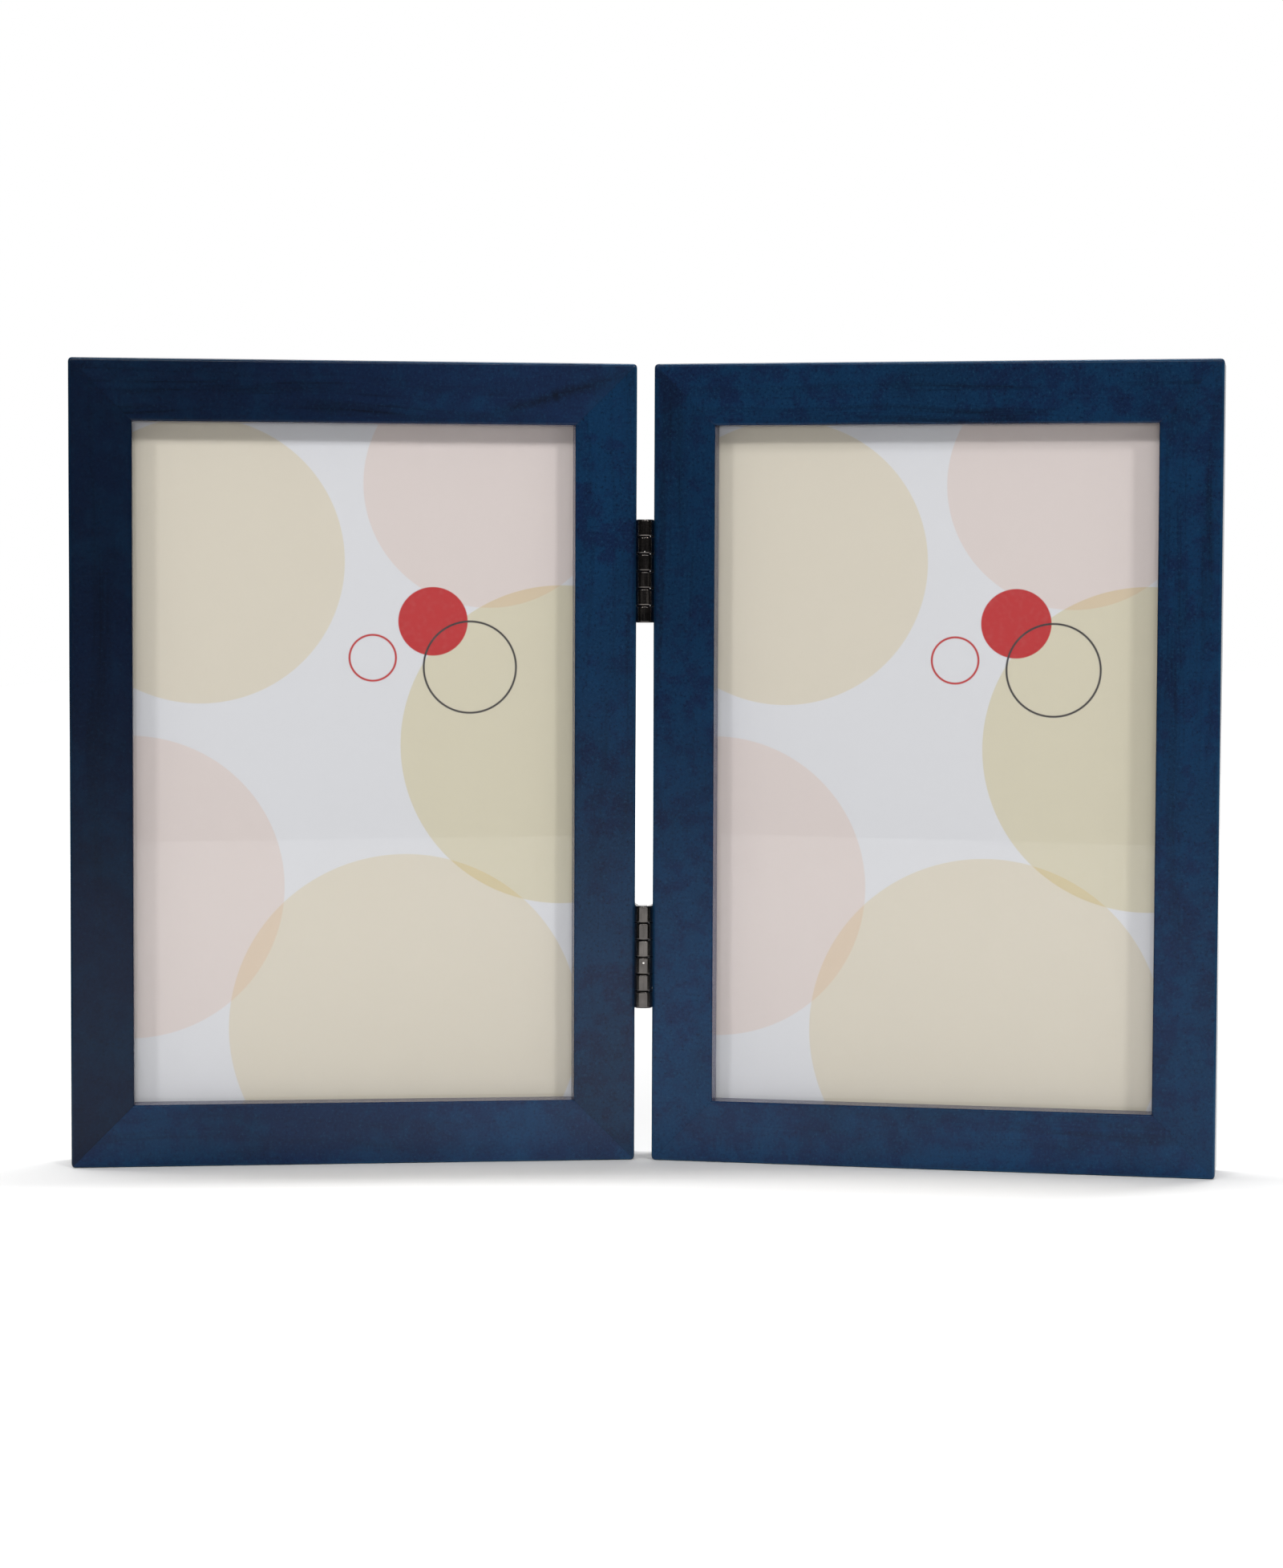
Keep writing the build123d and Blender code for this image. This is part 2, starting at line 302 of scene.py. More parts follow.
def knot_share(place, ragged):
    """1 on the knot and the dark streak through it, fading to 0 away from them."""
    shifted = stretched(place, shift=(-KNOT_PLACE[0], 0, -KNOT_PLACE[1]))
    along, _, across = axes(stretched(shifted, turn=(0, KNOT_SLANT, 0)))
    aside = calc("ADD", calc("ABSOLUTE", across), times(ragged, 2.4 * MM))
    reach = spread(calc("ABSOLUTE", along), 0.2 * KNOT_REACH, KNOT_REACH, 0.65, 0.0)
    streak = times(spread(aside, 0.6 * MM, 3.2 * MM, 1.0, 0.0), reach)
    apart = calc("ADD", from_origin(shifted), times(ragged, 2 * MM))
    knot = spread(apart, 1.2 * MM, 3.2 * MM, 0.8, 0.0)
    return calc("MAXIMUM", streak, knot)


def stained_wood(wing, side, node):
    """Blue stain under satin lacquer: mottled over the wing, its grain along the moulding's X."""
    tone = WOOD_TONES[node]
    seed = 1.7 * (1 + sorted(WOOD_TONES).index(node))
    shift = (seed, 2.3 * seed, 3.1 * seed)
    half_length = wing.side_length(side) / 2
    ink = deepened(INK, tone.depth)
    material, place = new_material("stained_wood_" + node)
    x, y, z = axes(place)
    # Cloudy patches of navy and teal, which run on across the mitres
    in_wing = wing.side_place(side)
    wing_shift = in_wing.to_translation() + Vector((0, wing.hand, 0))
    over_wing = stretched(place, shift=wing_shift, turn=in_wing.to_euler())
    patches = cloud(over_wing, 32.0, 7.0, 0.66, 0.5)
    blots = cloud(over_wing, 260.0, 4.0, 0.65)
    mottle = 0.05 + 0.7 * tone.teal
    mottled = spread(blots, 0.3, 0.7, -mottle, mottle)
    mixed = calc("ADD", spread(patches, 0.25, 0.75), mottled)
    teal = spread(mixed, 0.55 - tone.teal, 1.45 - tone.teal)
    colour = blend(teal, deepened(NAVY, tone.depth), deepened(TEAL, tone.depth))
    shade = cloud(stretched(over_wing, shift=(0, 3, 0)), 26.0, 6.0, 0.65, 0.3)
    colour = blend(spread(shade, 0.40, 0.72, 0.0, 0.3), colour, ink)
    # Smoky streaks and thinner ones, drawn out and a little wavy along the grain
    warp = cloud(stretched(place, (9, 30, 30), shift), 1.0, 2.0, 0.5)
    wander = add("CombineXYZ", {2: times(warp, 0.011)}).outputs[0]
    wavy = add("VectorMath", {0: place, 1: wander}, operation="ADD").outputs[0]
    smoke = cloud(stretched(wavy, (11, 240, 240), shift), 1.0, 5.0, 0.62, 0.3)
    paler = spread(times(x, tone.pale_end), -0.6 * half_length, 0.9 * half_length)
    streaky = spread(paler, 0.0, 1.0, 0.7 * tone.streaks, 0.15 * tone.streaks)
    colour = blend(times(spread(smoke, 0.48, 0.68), streaky), colour, ink)
    streaks = cloud(stretched(wavy, (18, 800, 800), shift), 1.0, 5.0, 0.68)
    zones = times(spread(smoke, 0.44, 0.60), streaky)
    colour = blend(times(spread(streaks, 0.50, 0.66), zones), colour, ink)
    grit = cloud(place, 1500.0, 3.0, 0.75)
    if node == KNOT_RAIL:
        ragged = times(blots, calc("ADD", 0.5, grit))
        colour = blend(knot_share(place, ragged), colour, ink)
    # Fine grit of the stain in the pores
    pores = 0.35 + 0.55 * tone.teal
    thin = deepened(PALE_STAIN_AND_EDGE_HIGHLIGHT, 0.75 * tone.depth)
    colour = blend(spread(grit, 0.52, 0.74, 0.0, pores), colour, thin)
    colour = blend(spread(grit, 0.48, 0.28, 0.0, pores), colour, ink)
    # Paler on the outer front edges: partly rubbed stain, partly a painted edge highlight
    near_front = spread(y, 0.4 * MM, 1.6 * MM, 1.0, 0.0)
    near_edge = times(spread(z, 0.05 * MM, 0.7 * MM, 1.0, 0.0), near_front)
    patchy = spread(patches, 0.35, 0.6, 0.3, 0.9)
    colour = blend(times(near_edge, patchy), colour, deepened(PALE_STAIN_AND_EDGE_HIGHLIGHT, tone.depth))
    # Mauve on the lip that faces the glass: a painted reflection of the card
    on_lip = spread(z, wing.face - 0.3 * MM, wing.face - 0.05 * MM, 0.0, 0.5)
    behind_edge = spread(y, 0.3 * MM, 0.6 * MM)
    colour = blend(times(on_lip, behind_edge), colour, LIP_CARD_REFLECTION)
    # Paler and greyer towards one end: partly uneven stain, partly a painted haze that stands for the
    # pale table's reflection
    colour = blend(paler, colour, (tone.lift, tone.lift, tone.lift, 1), "MULTIPLY")
    colour = blend(times(paler, tone.grey), colour, FADE_AND_HAZE_GREY)
    # Stain gathered in the mitres
    to_mitre = calc("SUBTRACT", calc("SUBTRACT", half_length, z), calc("ABSOLUTE", x))
    colour = blend(spread(to_mitre, 0.03 * MM, 0.2 * MM, 0.15, 0.0), colour, ink)
    # A few pale specks of dust
    colour = blend(specks(place, 210.0, 0, 0.95, 0.03, 0.05, 0.75), colour, DUST)
    gloss = spread(patches, 0.3, 0.7, 0.205, 0.22)
    height = calc("ADD", times(grit, 0.5), times(streaks, 0.8))
    principled({
        "Base Color": colour,
        "Roughness": gloss,
        "Specular IOR Level": 0.16,
        "Normal": relief(height, 0.03, 0.03 * MM),
    })
    return material


def clear_glass():
    """A clear pane: what is behind it, a thin reflection and a trace of dust."""
    material, place = new_material("clear_glass")
    smears = cloud(place, 45.0, 3.0, 0.6, 0.8)
    mirror = add("BsdfGlossy", {
        "Color": (1, 1, 1, 1), "Roughness": spread(smears, 0.4, 0.7, 0.005, 0.03),
    })
    through = add("BsdfTransparent", {"Color": (0.988, 0.993, 0.991, 1)})
    edge = add("Fresnel", {"IOR": 1.42}).outputs[0]
    is_front = calc("SUBTRACT", 1.0, add("NewGeometry").outputs["Backfacing"])
    shine = times(edge, is_front)
    pane = add("MixShader", {0: shine, 1: through.outputs[0], 2: mirror.outputs[0]})
    grains = specks(place, 70.0, 1, 0.9, 0.008, 0.014, 0.6)
    dust = add("BsdfDiffuse", {"Color": (0.30, 0.29, 0.28, 1)})
    show(add("MixShader", {0: grains, 1: pane.outputs[0], 2: dust.outputs[0]}))
    return material


PAPER = srgb(205, 204, 208)
CREAM = (0.98, 0.90, 0.73, 1)
BLUSH = (1.0, 0.885, 0.82, 1)
STRAW = (0.94, 0.87, 0.65, 1)
BRICK = srgb(176, 50, 52)
CHARCOAL = srgb(62, 58, 60)

# The print's overlapping discs: place across and up from the card's middle, radius, tint
DISCS = (
    (-33 * MM, 44 * MM, 31 * MM, CREAM),
    (29 * MM, 61 * MM, 27 * MM, BLUSH),
    (45 * MM, 4 * MM, 35 * MM, STRAW),
    (-48 * MM, -27 * MM, 33 * MM, BLUSH),
    (11 * MM, -58 * MM, 38 * MM, CREAM),
)
SMALL_DISC = (17 * MM, 31 * MM, 7.5 * MM)
THIN_RINGS = ((25 * MM, 21 * MM, 10 * MM, CHARCOAL), (4 * MM, 23 * MM, 5 * MM, BRICK))
RING_LINE = 0.35 * MM
PRINT_EDGE = 0.12 * MM


def from_centre(across, up, disc):
    """The distance from a printed disc's centre."""
    offset = add("CombineXYZ", {
        0: calc("SUBTRACT", across, disc[0]), 1: calc("SUBTRACT", up, disc[1]),
    })
    return from_origin(offset.outputs[0])


def disc_share(across, up, disc):
    """1 inside a printed disc and 0 outside it."""
    distance = from_centre(across, up, disc)
    return spread(distance, disc[2] - PRINT_EDGE, disc[2] + PRINT_EDGE, 1.0, 0.0)


def ring_share(across, up, ring):
    """1 on a thin printed ring and 0 off it."""
    aside = calc("SUBTRACT", from_centre(across, up, ring), ring[2])
    return spread(calc("ABSOLUTE", aside), RING_LINE / 4, RING_LINE, 1.0, 0.0)


def printed_card(wing):
    """A stock insert: plain overlapping pastel discs and one small brick-red one."""
    material, place = new_material("printed_card_" + wing)
    low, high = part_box(wing + "_photo_card")
    middle = (low + high) / 2
    x, _, z = axes(stretched(place, shift=-middle))
    colour = PAPER
    for disc in DISCS:
        colour = blend(disc_share(x, z, disc), colour, disc[3], "MULTIPLY")
    colour = blend(disc_share(x, z, SMALL_DISC), colour, BRICK)
    for ring in THIN_RINGS:
        colour = blend(ring_share(x, z, ring), colour, ring[3])
    tooth = cloud(place, 900.0, 2.0, 0.5)
    colour = blend(spread(tooth, 0.4, 0.8, 0.0, 0.03), colour, (0.5, 0.5, 0.5, 1))
    principled({
        "Base Color": colour,
        "Roughness": spread(tooth, 0.3, 0.7, 0.45, 0.6),
        "Specular IOR Level": 0.3,
        "Normal": relief(tooth, 0.03, 0.01 * MM),
    })
    return material


def grey_chipboard():
    """Grey recycled board with pale and dark flecks."""
    material, place = new_material("grey_chipboard")
    flecks = cloud(stretched(place, (900, 900, 500)), 1.0, 4.0, 0.7)
    clouds = cloud(place, 120.0, 2.0)
    colour = blend(spread(clouds, 0.35, 0.65), srgb(148, 142, 134), srgb(132, 127, 120))
    colour = blend(spread(flecks, 0.58, 0.7, 0.0, 0.7), colour, srgb(92, 86, 80))
    colour = blend(spread(flecks, 0.42, 0.3, 0.0, 0.5), colour, srgb(182, 178, 170))
    principled({
        "Base Color": colour, "Roughness": 0.9, "Normal": relief(flecks, 0.3, 0.06 * MM),
    })
    return material


def hardboard():
    """Brown pressed fibre."""
    material, place = new_material("hardboard")
    fibres = cloud(stretched(place, (1400, 1400, 700)), 1.0, 4.0, 0.7, 0.6)
    clouds = cloud(place, 70.0, 3.0)
    colour = blend(spread(clouds, 0.3, 0.7), srgb(126, 92, 62), srgb(104, 74, 50))
    colour = blend(spread(fibres, 0.5, 0.72, 0.0, 0.7), colour, srgb(66, 44, 30))
    principled({
        "Base Color": colour, "Roughness": 0.75, "Normal": relief(fibres, 0.25, 0.05 * MM),
    })
    return material


def black_velvet():
    """Short black pile, brushed lighter and darker in patches."""
    material, place = new_material("black_velvet")
    pile = cloud(place, 1900.0, 3.0, 0.7)
    strokes = cloud(stretched(place, (24, 24, 16)), 1.0, 4.0, 0.6, 0.3)
    brushed = spread(strokes, 0.35, 0.65)
    colour = blend(brushed, srgb(17, 17, 19), srgb(25, 25, 28))
    colour = blend(spread(pile, 0.5, 0.8, 0.0, 0.5), colour, srgb(46, 46, 52))
    height = calc("ADD", pile, times(brushed, 0.3))
    principled({
        "Base Color": colour,
        "Roughness": 0.95,
        "Specular IOR Level": 0.1,
        "Sheen Weight": 0.55,
        "Sheen Roughness": 0.35,
        "Sheen Tint": srgb(150, 150, 165),
        "Normal": relief(height, 0.7, 0.12 * MM),
    })
    return material


def black_nickel():
    """Dark plated hinges with fine rub marks and a few pale specks painted as small glints."""
    material, place = new_material("black_nickel")
    rubs = cloud(stretched(place, (1500, 1500, 90)), 1.0, 3.0, 0.6)
    clouds = cloud(place, 260.0, 2.0)
    colour = blend(spread(clouds, 0.35, 0.65), srgb(88, 85, 83), srgb(104, 100, 97))
    colour = blend(spread(rubs, 0.6, 0.75, 0.0, 0.5), colour, srgb(140, 132, 124))
    # A few pale, non-metal specks: painted glints
    glint_specks = specks(place, 420.0, 0, 0.55, 0.08, 0.12, 1.0)
    principled({
        "Base Color": blend(glint_specks, colour, GLINT_SPECK),
        "Metallic": calc("SUBTRACT", 1.0, glint_specks),
        "Roughness": spread(rubs, 0.3, 0.7, 0.10, 0.20),
        "Normal": relief(rubs, 0.10, 0.01 * MM),
    })
    return material


def bright_steel():
    """Bright plated steel with fine rolling marks and a few dull spots."""
    material, place = new_material("bright_steel")
    marks = cloud(stretched(place, (2400, 160, 2400)), 1.0, 3.0, 0.65)
    spots = cloud(place, 420.0, 3.0, 0.6)
    colour = blend(spread(marks, 0.35, 0.7), srgb(206, 203, 196), srgb(182, 180, 175))
    colour = blend(spread(spots, 0.58, 0.74, 0.0, 0.55), colour, srgb(140, 137, 130))
    principled({
        "Base Color": colour,
        "Metallic": 1.0,
        "Roughness": spread(spots, 0.35, 0.7, 0.22, 0.42),
        "Normal": relief(marks, 0.10, 0.01 * MM),
    })
    return material


# Mesh tools


def arc_points(centre, radius, start, end, steps):
    """Points along an arc, angles in degrees."""
    points = []
    for index in range(steps + 1):
        angle = math.radians(start + (end - start) * index / steps)
        points.append((centre[0] + radius * math.cos(angle), centre[1] + radius * math.sin(angle)))
    return points


def join_loops(bm, first, second):
    """Faces between two closed loops of as many points."""
    count = len(first)
    for index in range(count):
        following = (index + 1) % count
        bm.faces.new((first[index], first[following], second[following], second[index]))


def turned(outline, steps=TURNED_STEPS):
    """An outline of (radius, height) points, from axis to axis, turned about Z."""
    bm = bmesh.new()
    rings = []
    for radius, height in outline:
        if radius == 0:
            rings.append([bm.verts.new((0, 0, height))])
        else:
            around = arc_points((0, 0), radius, 0, 360, steps)[:-1]
            rings.append([bm.verts.new((x, y, height)) for x, y in around])
    for lower, upper in zip(rings, rings[1:]):
        for index in range(steps):
            corners = [
                lower[index % len(lower)], lower[(index + 1) % len(lower)],
                upper[(index + 1) % len(upper)], upper[index % len(upper)],
            ]
            bm.faces.new(list(dict.fromkeys(corners)))
    return bm


def prism(outline, low, high, shrink=1.0):
    """A closed prism of (x, y) points between two heights, its lower end scaled by shrink."""
    bm = bmesh.new()
    bottom = [bm.verts.new((x * shrink, y * shrink, low)) for x, y in outline]
    top = [bm.verts.new((x, y, high)) for x, y in outline]
    bm.faces.new(bottom)
    bm.faces.new(top)
    join_loops(bm, bottom, top)
    return bm


def round_edges(bm, edges, width, segments, clamp):
    """Rounds some edges, with clamp no further than they all have room."""
    bmesh.ops.bevel(
        bm, geom=edges, offset=width, offset_type="OFFSET", segments=segments, profile=0.5,
        affect="EDGES", clamp_overlap=clamp,
    )


def ease_edges(bm, width, segments=2, limit=math.radians(40)):
    """Rounds every edge sharper than a limit."""
    bmesh.ops.recalc_face_normals(bm, faces=bm.faces)
    sharp = [edge for edge in bm.edges if edge.is_manifold and edge.calc_face_angle() > limit]
    round_edges(bm, sharp, width, segments, True)


def linked(name, data):
    """An object in the scene, for a mesh, lamp or camera."""
    made = bpy.data.objects.new(name, data)
    bpy.context.scene.collection.objects.link(made)
    return made


def mesh_object(name, bm, place=Matrix.Identity(4)):
    """A mesh as an object at its place, its faces turned outwards."""
    bmesh.ops.recalc_face_normals(bm, faces=bm.faces)
    mesh = bpy.data.meshes.new(name)
    bm.to_mesh(mesh)
    bm.free()
    made = linked(name, mesh)
    made.matrix_world = place
    return made


def repeated(source, places):
    """A mesh that holds a copy of an object's mesh at each place. The object goes."""
    bm = bmesh.new()
    for place in places:
        before = len(bm.verts)
        bm.from_mesh(source.data)
        bm.verts.ensure_lookup_table()
        bmesh.ops.transform(bm, matrix=place, verts=bm.verts[before:])
    bpy.data.objects.remove(source)
    return bm


def carve(piece, cutter):
    """Cuts a shape out of a piece, and removes the shape."""
    cut = piece.modifiers.new("cut", "BOOLEAN")
    cut.operation = "DIFFERENCE"
    cut.solver = "EXACT"
    cut.object = cutter
    bpy.context.view_layer.update()
    shown = piece.evaluated_get(bpy.context.evaluated_depsgraph_get())
    mesh = bpy.data.meshes.new_from_object(shown)
    piece.modifiers.clear()
    piece.data = mesh
    bpy.data.objects.remove(cutter)


def dress(piece, body, material, replaced, sharp=math.radians(35)):
    """Finishes a piece: its shading, material, the body it rides on and the node it stands for."""
    bm = bmesh.new()
    bm.from_mesh(piece.data)
    for face in bm.faces:
        face.smooth = True
        face.material_index = 0
    for edge in bm.edges:
        edge.smooth = not edge.is_manifold or edge.calc_face_angle() < sharp
    bm.to_mesh(piece.data)
    bm.free()
    piece.data.materials.clear()
    piece.data.materials.append(material)
    normals = piece.modifiers.new("normals", "WEIGHTED_NORMAL")
    normals.keep_sharp = True
    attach(piece, body)
    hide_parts(replaced)
    return piece


# The wings' frames and sizes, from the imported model

JOINTS = {joint["name"]: joint for joint in frame["joints"]}
FOLD_PLACE = Vector(JOINTS["fold"]["pos_m"])


class Wing:
    """A wing's place and the sizes of its wood."""

    def __init__(self, name):
        self.name = name
        self.hand = WING_HANDS[name]
        self.body = name + "_wing"
        back = Vector(JOINTS[name + "_top_button_turn"]["axis"])
        across = Vector((back.y, -back.x, 0))
        turn = Matrix((across, back, (0, 0, 1))).transposed()
        self.place = Matrix.Translation(FOLD_PLACE) @ turn.to_4x4()
        low, high = self.extent("bottom_rail")
        outer = [point.x for point in self.points("outer_stile")]
        inner = [point.x for point in self.points("hinge_stile")]
        self.side = min(inner, key=abs) * self.hand
        self.width = max(outer, key=abs) * self.hand - self.side
        self.front = low.y
        self.depth = high.y - low.y
        self.face = high.z - low.z
        self.height = self.extent("top_rail")[1].z
        self.middle = Vector((self.hand * (self.side + self.width / 2), low.y, self.height / 2))
        self.lip = self.extent("glass")[0].y - self.front
        back_points = [point for point in self.points("bottom_rail") if point.y > high.y - ARRIS]
        self.land = max(point.z for point in back_points)

    def points(self, part):
        """A node's points in the wing's frame."""
        into = self.place.inverted()
        return [into @ vertex.co for vertex in frame["nodes"][self.name + "_" + part].data.vertices]

    def extent(self, part):
        """A node's lowest and highest corner in the wing's frame."""
        points = self.points(part)
        low = Vector([min(point[axis] for point in points) for axis in range(3)])
        high = Vector([max(point[axis] for point in points) for axis in range(3)])
        return low, high

    def side_place(self, side):
        """A side's frame within the wing: X along it, Y to the back, Z inwards from its outer edge."""
        turn = {"bottom": 0, "top": 180, "outer": -90 * self.hand, "hinge": 90 * self.hand}[side]
        distance = self.height / 2 if side in ("bottom", "top") else self.width / 2
        turned_place = Matrix.Translation(self.middle) @ Matrix.Rotation(math.radians(turn), 4, "Y")
        return turned_place @ Matrix.Translation((0, 0, -distance))

    def side_length(self, side):
        """The length of a side's moulding."""
        return self.width if side in ("bottom", "top") else self.height

    def pivot_place(self, side):
        """A turn button's frame within the wing: on the wood's back, Y to the window, Z outwards."""
        back = Matrix.Translation((0, self.depth, self.land / 2))
        return self.side_place(side) @ back @ Matrix(((-1, 0, 0), (0, 0, 1), (0, 1, 0))).to_4x4()


# Wooden mouldings


def section(wing):
    """A moulding's section as (depth, inwards) points round from its outer front edge."""
    front_arc = arc_points((OUTER_EDGE, OUTER_EDGE), OUTER_EDGE, 270, 180, EDGE_STEPS)
    inner_arc = arc_points((INNER_EDGE, wing.face - INNER_EDGE), INNER_EDGE, 180, 90, EDGE_STEPS)
    back_arc = arc_points((wing.depth - BACK_EDGE, BACK_EDGE), BACK_EDGE, 0, -90, EDGE_STEPS)
    points = list(front_arc)
    span = wing.face - OUTER_EDGE - INNER_EDGE
    for index in range(1, FACE_STEPS):
        points.append((0, OUTER_EDGE + span * index / FACE_STEPS))
    points += inner_arc
    points += [(wing.lip / 2, wing.face), (wing.lip - ARRIS, wing.face), (wing.lip, wing.face - ARRIS)]
    points += [(wing.lip, wing.land), (wing.depth - ARRIS, wing.land), (wing.depth, wing.land - ARRIS)]
    points += [(wing.depth, wing.land / 2)]
    points += back_arc
    points += [(wing.depth / 2, 0)]
    return points


def section_normals(points):
    """The outward direction at each point of a section."""
    normals = []
    count = len(points)
    for index in range(count):
        before = Vector(points[index - 1])
        after = Vector(points[(index + 1) % count])
        along = (after - before).normalized()
        normals.append(Vector((-along.y, along.x)))
    return normals


def ring_stations():
    """Where a moulding's rings lie: a distance in from the nearer mitre, or a share of its length."""
    ends = [0.0, MITRE_EASING, 0.35 * MM, 0.6 * MM, CORNER_RADIUS, 2 * MM]
    left = [(-1, distance, None) for distance in ends]
    middle = [(0, ends[-1], index / LENGTH_STEPS) for index in range(1, LENGTH_STEPS)]
    right = [(1, distance, None) for distance in reversed(ends)]
    return left + middle + right


def station_x(station, reach):
    """A ring's X on a line of the moulding that reaches so far each way."""
    end, distance, share = station
    if end:
        return end * (reach - distance)
    return (reach - distance) * (2 * share - 1)


def round_corner(x, z, half):
    """Moves a point of the plan so that the wing's outer corner is round."""
    past = abs(x) - (half - CORNER_RADIUS)
    out = CORNER_RADIUS - z
    if past <= 0 or out <= 0:
        return x, z
    shell = max(past, out)
    reach = math.hypot(past, out)
    along = half - CORNER_RADIUS + shell * past / reach
    return math.copysign(along, x), CORNER_RADIUS - shell * out / reach


def moulding(wing, side, seed):
    """A mitred moulding in its side's frame: eased edges, a faint wave and fine mitre grooves."""
    half = wing.side_length(side) / 2
    points = section(wing)
    normals = section_normals(points)
    bm = bmesh.new()
    rings = []
    for station in ring_stations():
        ring = []
        groove = MITRE_GROOVE if station[0] and station[1] == 0 else 0.0
        for (y, z), normal in zip(points, normals):
            x = station_x(station, half - z)
            wave_place = Vector((x, y, z)) / SURFACE_WAVE_LENGTH + Vector((seed, 0, 0))
            offset = SURFACE_WAVE * (noise.noise(wave_place) - 1) - groove
            flat_x, flat_z = round_corner(x, z + normal.y * offset, half)
            ring.append(bm.verts.new((flat_x, y + normal.x * offset, flat_z)))
        rings.append(ring)
    for first, second in zip(rings, rings[1:]):
        join_loops(bm, first, second)
    bm.faces.new(rings[0])
    bm.faces.new(rings[-1])
    return bm


def nail_outline(grow=0.0):
    """A V-nail's outline in (x, y) points, its apex on the mitre, towards the window."""
    along = NAIL_LEG * math.cos(NAIL_HALF_ANGLE) + grow
    across = NAIL_LEG * math.sin(NAIL_HALF_ANGLE) + grow
    half = NAIL_THICKNESS / math.sin(NAIL_HALF_ANGLE) / 2 + grow
    middle = (along - grow) / 2
    return [
        (middle + half, 0), (middle + half - along, across), (middle - half - along, across),
        (middle - half, 0), (middle - half - along, -across), (middle + half - along, -across),
    ]


def nail_places(wing):
    """The wing's V-nails: X towards the window along each mitre, Z out of the back."""
    places = []
    for x_sign, z_sign in ((-1, -1), (1, -1), (1, 1), (-1, 1)):
        towards = Vector((-x_sign, 0, -z_sign)).normalized()
        outwards = Vector((0, 1, 0))
        corner = wing.middle + Vector((x_sign * wing.width / 2, wing.depth, z_sign * wing.height / 2))
        axes_matrix = Matrix((towards, outwards.cross(towards), outwards)).transposed().to_4x4()
        middle = corner + Vector((-x_sign, 0, -z_sign)) * wing.land / 2
        places.append(Matrix.Translation(middle) @ axes_matrix)
    return places


def nail_cutter(wing):
    """The slots that the V-nails cut in the wood."""
    single = prism(nail_outline(NAIL_SLOT_FIT), -NAIL_DEPTH, NAIL_DEPTH / 4)
    slots = repeated(mesh_object("nail_slot", single), nail_places(wing))
    return mesh_object("nail_slots", slots, wing.place)


def make_mouldings(wing):
    """The four mouldings of a wing."""
    for index, side in enumerate(SIDES):
        part = side + ("_rail" if side in ("bottom", "top") else "_stile")
        node = wing.name + "_" + part
        place = wing.place @ wing.side_place(side)
        piece = mesh_object(node + "_moulding", moulding(wing, side, 7.3 * index + wing.hand), place)
        carve(piece, nail_cutter(wing))
        dress(piece, wing.body, stained_wood(wing, side, node), node)


def make_nails(wing, material):
    """The wing's V-nails, driven a little below the wood."""
    single = prism(nail_outline(), -NAIL_DEPTH, -NAIL_SUNK)
    ease_edges(single, NAIL_EDGE)
    nails = repeated(mesh_object("nail", single), nail_places(wing))
    node = wing.name + "_corner_v_nails"
    dress(mesh_object(node + "_driven", nails, wing.place), wing.body, material, node)


# Screws: the axis is Z, the tip points down and the top of the shank is at Z=0


def cross_cutter(reach, width, depth, top):
    """A tapered cross recess that opens at a height."""
    arm = width / 2
    outline = []
    for turn in range(4):
        quarter = Matrix.Rotation(turn * math.pi / 2, 2)
        for corner in ((arm, -arm), (reach, -arm), (reach, arm)):
            outline.append(tuple(quarter @ Vector(corner)))
    return mesh_object("cross", prism(outline, top - depth, top + depth, CROSS_TAPER))


def pan_screw():
    """A pan-head screw with a domed head and a cross recess."""
    dome = arc_points((0, 0), 1.0, 0, 90, 8)
    outline = [(0, -PAN_LENGTH), (PAN_SHANK, SCREW_TIP - PAN_LENGTH), (PAN_SHANK, 0)]
    outline += [(PAN_RADIUS - ARRIS, 0), (PAN_RADIUS, ARRIS), (PAN_RADIUS, PAN_WALL)]
    for across, up in dome[1:]:
        outline.append((PAN_RADIUS * across if up < 1 else 0, PAN_WALL + (PAN_HEIGHT - PAN_WALL) * up))
    screw = mesh_object("pan_screw", turned(outline))
    carve(screw, cross_cutter(*PAN_CROSS, PAN_HEIGHT))
    return screw


def countersunk_outline(grow=0.0, rise=0.0):
    """A countersunk screw's outline with its head's top at Z=0."""
    head = HINGE_SCREW_HEAD + grow
    shank = HINGE_SCREW_SHANK + grow
    outline = [(0, -HINGE_SCREW_LENGTH - grow), (shank, SCREW_TIP - HINGE_SCREW_LENGTH)]
    outline.append((shank, shank - head))
    if rise:
        return outline + [(head, 0), (head, rise), (0, rise)]
    return outline + [(head - HEAD_EDGE, -HEAD_EDGE), (head - 2 * HEAD_EDGE, 0), (0, 0)]


def countersunk_screw():
    """A countersunk hinge screw with a cross recess."""
    screw = mesh_object("countersunk_screw", turned(countersunk_outline()))
    carve(screw, cross_cutter(*HINGE_SCREW_CROSS, 0.0))
    return screw


def make_button_screws(wing, material):
    """The four pan-head screws of a wing's turn buttons."""
    seat = Matrix.Translation((0, 0, 2 * BUTTON_PLAY + BUTTON_THICKNESS))
    places = []
    for index, side in enumerate(SIDES):
        turn = Matrix.Rotation(0.4 + 0.9 * index, 4, "Z")
        places.append(wing.pivot_place(side) @ seat @ turn)
    node = wing.name + "_turn_button_screws"
    piece = mesh_object(node + "_pan", repeated(pan_screw(), places), wing.place)
    dress(piece, wing.body, material, node)


# Turn buttons


